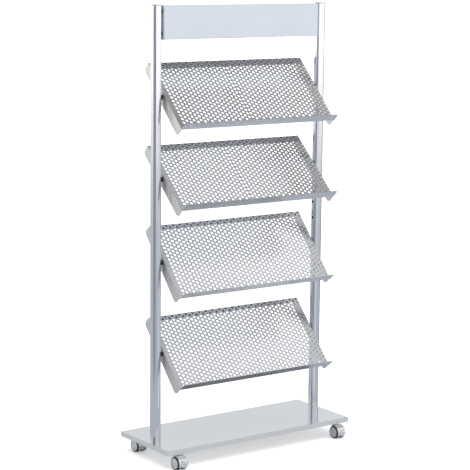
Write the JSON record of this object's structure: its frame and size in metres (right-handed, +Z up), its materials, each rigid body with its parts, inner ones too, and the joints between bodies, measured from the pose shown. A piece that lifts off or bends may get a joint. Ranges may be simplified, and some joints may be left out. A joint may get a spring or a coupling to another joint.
{
  "type": "brochure rack",
  "caption": "Mobile brochure rack: round posts on a castored base board carry a header box and tilting perforated shelves, each with a front lip.",
  "frame": {"origin": "on the floor under the centre of the bounding box, castors trailing to the front", "axes": "+X across the rack to the right seen from the front, +Y to the back, +Z up"},
  "size_m": [0.852, 0.3562, 1.6955],
  "materials": {
    "board": "high-gloss silver-grey laminate on board",
    "post": "bright polished",
    "cap": "polished",
    "inner_metal": "as machined",
    "zinc": "zinc plated",
    "header_paint": "fine silver-blue powder coat, semi-gloss",
    "shelf_paint": "silver powder coat, satin",
    "lip_paint": "silver powder coat, satin",
    "side_paint": "silver powder coat, satin",
    "black_parts": "black oxide",
    "castor_shell": "silver, glossy",
    "tread": "matt grey-black"
  },
  "bodies": {
    "frame": {"base_board": "board", "post_left": "post", "post_right": "post", "post_caps": "cap", "post_plugs": "inner_metal", "post_bolts": "zinc", "header_front": "header_paint", "header_back": "header_paint", "header_back_screws": "zinc", "header_spacers": "black_parts", "rivet_nuts": "black_parts", "clamp_bolts": "zinc", "clamp_washers": "zinc", "clamp_spacers": "black_parts", "castor_plates": "zinc", "castor_screws": "zinc"},
    "shelf_1": {"shelf_1_deck": "shelf_paint", "shelf_1_lip": "lip_paint", "shelf_1_flange": "shelf_paint", "shelf_1_sides": "side_paint"},
    "shelf_2": {"shelf_2_deck": "shelf_paint", "shelf_2_lip": "lip_paint", "shelf_2_flange": "shelf_paint", "shelf_2_sides": "side_paint"},
    "shelf_3": {"shelf_3_deck": "shelf_paint", "shelf_3_lip": "lip_paint", "shelf_3_flange": "shelf_paint", "shelf_3_sides": "side_paint"},
    "shelf_4": {"shelf_4_deck": "shelf_paint", "shelf_4_lip": "lip_paint", "shelf_4_flange": "shelf_paint", "shelf_4_sides": "side_paint"},
    "castor_fl": {"castor_fl_hood": "castor_shell", "castor_fl_axle": "zinc"},
    "castor_fl_wheel_left_body": {"castor_fl_wheel_left": "tread", "castor_fl_cap_left": "castor_shell"},
    "castor_fl_wheel_right_body": {"castor_fl_wheel_right": "tread", "castor_fl_cap_right": "castor_shell"},
    "castor_fl_brake": {"castor_fl_brake_lever": "castor_shell"},
    "castor_fr": {"castor_fr_hood": "castor_shell", "castor_fr_axle": "zinc"},
    "castor_fr_wheel_left_body": {"castor_fr_wheel_left": "tread", "castor_fr_cap_left": "castor_shell"},
    "castor_fr_wheel_right_body": {"castor_fr_wheel_right": "tread", "castor_fr_cap_right": "castor_shell"},
    "castor_fr_brake": {"castor_fr_brake_lever": "castor_shell"},
    "castor_bl": {"castor_bl_hood": "castor_shell", "castor_bl_axle": "zinc"},
    "castor_bl_wheel_left_body": {"castor_bl_wheel_left": "tread", "castor_bl_cap_left": "castor_shell"},
    "castor_bl_wheel_right_body": {"castor_bl_wheel_right": "tread", "castor_bl_cap_right": "castor_shell"},
    "castor_bl_brake": {"castor_bl_brake_lever": "castor_shell"},
    "castor_br": {"castor_br_hood": "castor_shell", "castor_br_axle": "zinc"},
    "castor_br_wheel_left_body": {"castor_br_wheel_left": "tread", "castor_br_cap_left": "castor_shell"},
    "castor_br_wheel_right_body": {"castor_br_wheel_right": "tread", "castor_br_cap_right": "castor_shell"},
    "castor_br_brake": {"castor_br_brake_lever": "castor_shell"}
  },
  "joints": [
    {"name": "shelf_1_tilt", "type": "hinge", "parent": "frame", "child": "shelf_1", "pos_m": [0, 0.01513, 1.36], "axis": [1, 0, 0], "range_deg": [-20.6, 19.4]},
    {"name": "shelf_2_tilt", "type": "hinge", "parent": "frame", "child": "shelf_2", "pos_m": [0, 0.01513, 1.0585], "axis": [1, 0, 0], "range_deg": [-17.7, 22.3]},
    {"name": "shelf_3_tilt", "type": "hinge", "parent": "frame", "child": "shelf_3", "pos_m": [0, 0.01513, 0.748], "axis": [1, 0, 0], "range_deg": [-24.2, 15.8]},
    {"name": "shelf_4_tilt", "type": "hinge", "parent": "frame", "child": "shelf_4", "pos_m": [0, 0.01513, 0.4015], "axis": [1, 0, 0], "range_deg": [-22.5, 17.5]},
    {"name": "castor_fl_swivel", "type": "hinge", "parent": "frame", "child": "castor_fl", "pos_m": [-0.374, -0.12387, 0.04], "axis": [0, 0, 1], "continuous": true},
    {"name": "castor_fl_wheel_left_spin", "type": "hinge", "parent": "castor_fl", "child": "castor_fl_wheel_left_body", "pos_m": [-0.374, -0.14487, 0.025], "axis": [1, 0, 0], "continuous": true},
    {"name": "castor_fl_wheel_right_spin", "type": "hinge", "parent": "castor_fl", "child": "castor_fl_wheel_right_body", "pos_m": [-0.374, -0.14487, 0.025], "axis": [1, 0, 0], "continuous": true},
    {"name": "castor_fl_brake_press", "type": "hinge", "parent": "castor_fl", "child": "castor_fl_brake", "pos_m": [-0.374, -0.17203, 0.03488], "axis": [1, 0, 0], "range_deg": [0, 12]},
    {"name": "castor_fr_swivel", "type": "hinge", "parent": "frame", "child": "castor_fr", "pos_m": [0.374, -0.12387, 0.04], "axis": [0, 0, 1], "continuous": true},
    {"name": "castor_fr_wheel_left_spin", "type": "hinge", "parent": "castor_fr", "child": "castor_fr_wheel_left_body", "pos_m": [0.374, -0.14487, 0.025], "axis": [1, 0, 0], "continuous": true},
    {"name": "castor_fr_wheel_right_spin", "type": "hinge", "parent": "castor_fr", "child": "castor_fr_wheel_right_body", "pos_m": [0.374, -0.14487, 0.025], "axis": [1, 0, 0], "continuous": true},
    {"name": "castor_fr_brake_press", "type": "hinge", "parent": "castor_fr", "child": "castor_fr_brake", "pos_m": [0.374, -0.17203, 0.03488], "axis": [1, 0, 0], "range_deg": [0, 12]},
    {"name": "castor_bl_swivel", "type": "hinge", "parent": "frame", "child": "castor_bl", "pos_m": [-0.374, 0.15413, 0.04], "axis": [0, 0, 1], "continuous": true},
    {"name": "castor_bl_wheel_left_spin", "type": "hinge", "parent": "castor_bl", "child": "castor_bl_wheel_left_body", "pos_m": [-0.374, 0.13313, 0.025], "axis": [1, 0, 0], "continuous": true},
    {"name": "castor_bl_wheel_right_spin", "type": "hinge", "parent": "castor_bl", "child": "castor_bl_wheel_right_body", "pos_m": [-0.374, 0.13313, 0.025], "axis": [1, 0, 0], "continuous": true},
    {"name": "castor_bl_brake_press", "type": "hinge", "parent": "castor_bl", "child": "castor_bl_brake", "pos_m": [-0.374, 0.10597, 0.03488], "axis": [1, 0, 0], "range_deg": [0, 12]},
    {"name": "castor_br_swivel", "type": "hinge", "parent": "frame", "child": "castor_br", "pos_m": [0.374, 0.15413, 0.04], "axis": [0, 0, 1], "continuous": true},
    {"name": "castor_br_wheel_left_spin", "type": "hinge", "parent": "castor_br", "child": "castor_br_wheel_left_body", "pos_m": [0.374, 0.13313, 0.025], "axis": [1, 0, 0], "continuous": true},
    {"name": "castor_br_wheel_right_spin", "type": "hinge", "parent": "castor_br", "child": "castor_br_wheel_right_body", "pos_m": [0.374, 0.13313, 0.025], "axis": [1, 0, 0], "continuous": true},
    {"name": "castor_br_brake_press", "type": "hinge", "parent": "castor_br", "child": "castor_br_brake", "pos_m": [0.374, 0.10597, 0.03488], "axis": [1, 0, 0], "range_deg": [0, 12]}
  ]
}
